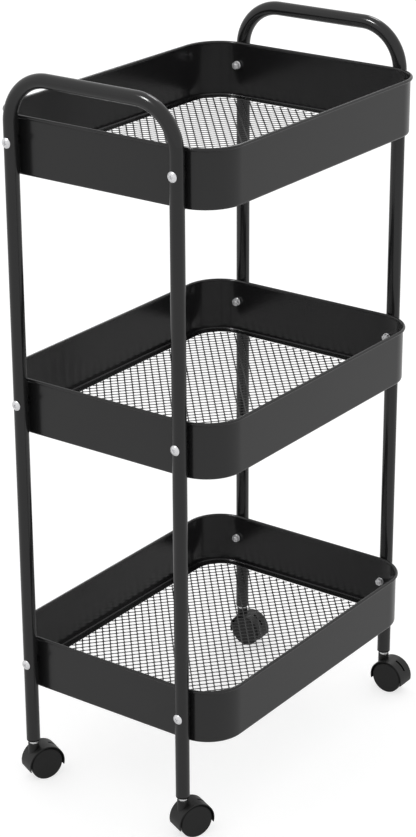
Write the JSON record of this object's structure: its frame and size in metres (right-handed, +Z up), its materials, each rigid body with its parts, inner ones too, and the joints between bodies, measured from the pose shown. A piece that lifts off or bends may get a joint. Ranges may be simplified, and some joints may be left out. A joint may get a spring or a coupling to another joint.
{
  "type": "rolling utility cart",
  "caption": "Three-tier rolling cart with bent tube end frames, sheet-steel trays with expanded-metal floors, and swivel twin-wheel casters.",
  "frame": {"origin": "on the floor under the centre of the trays", "axes": "+X along the trays from the left end frame to the right one, +Y across them to the back, +Z up"},
  "size_m": [0.4535, 0.304, 0.8535],
  "materials": {
    "frame_coating": "charcoal powder coat, satin",
    "tray_coating": "charcoal powder coat, satin",
    "mesh_coating": "charcoal powder coat, satin",
    "zinc_plate": "bright zinc plate",
    "bright_steel": "bright turned steel",
    "plug_plastic": "black moulded plastic",
    "hood_plastic": "black moulded nylon",
    "wheel_plastic": "black moulded nylon"
  },
  "bodies": {
    "cart": {"left_frame": "frame_coating", "right_frame": "frame_coating", "front_left_post_plug": "plug_plastic", "back_left_post_plug": "plug_plastic", "front_right_post_plug": "plug_plastic", "back_right_post_plug": "plug_plastic", "lower_tray": "tray_coating", "middle_tray": "tray_coating", "top_tray": "tray_coating", "lower_mesh_floor": "mesh_coating", "middle_mesh_floor": "mesh_coating", "top_mesh_floor": "mesh_coating", "lower_tray_screws": "zinc_plate", "middle_tray_screws": "zinc_plate", "top_tray_screws": "zinc_plate", "lower_tray_spacers": "plug_plastic", "middle_tray_spacers": "plug_plastic", "top_tray_spacers": "plug_plastic", "lower_tray_washers": "zinc_plate", "middle_tray_washers": "zinc_plate", "top_tray_washers": "zinc_plate", "lower_tray_nuts": "zinc_plate", "middle_tray_nuts": "zinc_plate", "top_tray_nuts": "zinc_plate", "front_left_stem": "bright_steel", "back_left_stem": "bright_steel", "front_right_stem": "bright_steel", "back_right_stem": "bright_steel", "front_left_snap_ring": "bright_steel", "back_left_snap_ring": "bright_steel", "front_right_snap_ring": "bright_steel", "back_right_snap_ring": "bright_steel"},
    "front_left_caster": {"front_left_hood": "hood_plastic", "front_left_axle": "bright_steel"},
    "front_left_wheel_outer": {"front_left_wheel_outer": "wheel_plastic"},
    "front_left_wheel_inner": {"front_left_wheel_inner": "wheel_plastic"},
    "back_left_caster": {"back_left_hood": "hood_plastic", "back_left_axle": "bright_steel"},
    "back_left_wheel_outer": {"back_left_wheel_outer": "wheel_plastic"},
    "back_left_wheel_inner": {"back_left_wheel_inner": "wheel_plastic"},
    "front_right_caster": {"front_right_hood": "hood_plastic", "front_right_axle": "bright_steel"},
    "front_right_wheel_outer": {"front_right_wheel_outer": "wheel_plastic"},
    "front_right_wheel_inner": {"front_right_wheel_inner": "wheel_plastic"},
    "back_right_caster": {"back_right_hood": "hood_plastic", "back_right_axle": "bright_steel"},
    "back_right_wheel_outer": {"back_right_wheel_outer": "wheel_plastic"},
    "back_right_wheel_inner": {"back_right_wheel_inner": "wheel_plastic"}
  },
  "joints": [
    {"name": "front_left_swivel", "type": "hinge", "parent": "cart", "child": "front_left_caster", "pos_m": [-0.213, -0.109, 0.04], "axis": [0, 0, 1], "continuous": true},
    {"name": "front_left_outer_roll", "type": "hinge", "parent": "front_left_caster", "child": "front_left_wheel_outer", "pos_m": [-0.20258, -0.11386, 0.0195], "axis": [0.4226, 0.9063, 0], "continuous": true},
    {"name": "front_left_inner_roll", "type": "hinge", "parent": "front_left_caster", "child": "front_left_wheel_inner", "pos_m": [-0.20258, -0.11386, 0.0195], "axis": [0.4226, 0.9063, 0], "continuous": true},
    {"name": "back_left_swivel", "type": "hinge", "parent": "cart", "child": "back_left_caster", "pos_m": [-0.213, 0.109, 0.04], "axis": [0, 0, 1], "continuous": true},
    {"name": "back_left_outer_roll", "type": "hinge", "parent": "back_left_caster", "child": "back_left_wheel_outer", "pos_m": [-0.20258, 0.10414, 0.0195], "axis": [0.4226, 0.9063, 0], "continuous": true},
    {"name": "back_left_inner_roll", "type": "hinge", "parent": "back_left_caster", "child": "back_left_wheel_inner", "pos_m": [-0.20258, 0.10414, 0.0195], "axis": [0.4226, 0.9063, 0], "continuous": true},
    {"name": "front_right_swivel", "type": "hinge", "parent": "cart", "child": "front_right_caster", "pos_m": [0.213, -0.109, 0.04], "axis": [0, 0, 1], "continuous": true},
    {"name": "front_right_outer_roll", "type": "hinge", "parent": "front_right_caster", "child": "front_right_wheel_outer", "pos_m": [0.213, -0.1205, 0.0195], "axis": [1, 0, 0], "continuous": true},
    {"name": "front_right_inner_roll", "type": "hinge", "parent": "front_right_caster", "child": "front_right_wheel_inner", "pos_m": [0.213, -0.1205, 0.0195], "axis": [1, 0, 0], "continuous": true},
    {"name": "back_right_swivel", "type": "hinge", "parent": "cart", "child": "back_right_caster", "pos_m": [0.213, 0.109, 0.04], "axis": [0, 0, 1], "continuous": true},
    {"name": "back_right_outer_roll", "type": "hinge", "parent": "back_right_caster", "child": "back_right_wheel_outer", "pos_m": [0.213, 0.0975, 0.0195], "axis": [1, 0, 0], "continuous": true},
    {"name": "back_right_inner_roll", "type": "hinge", "parent": "back_right_caster", "child": "back_right_wheel_inner", "pos_m": [0.213, 0.0975, 0.0195], "axis": [1, 0, 0], "continuous": true}
  ]
}
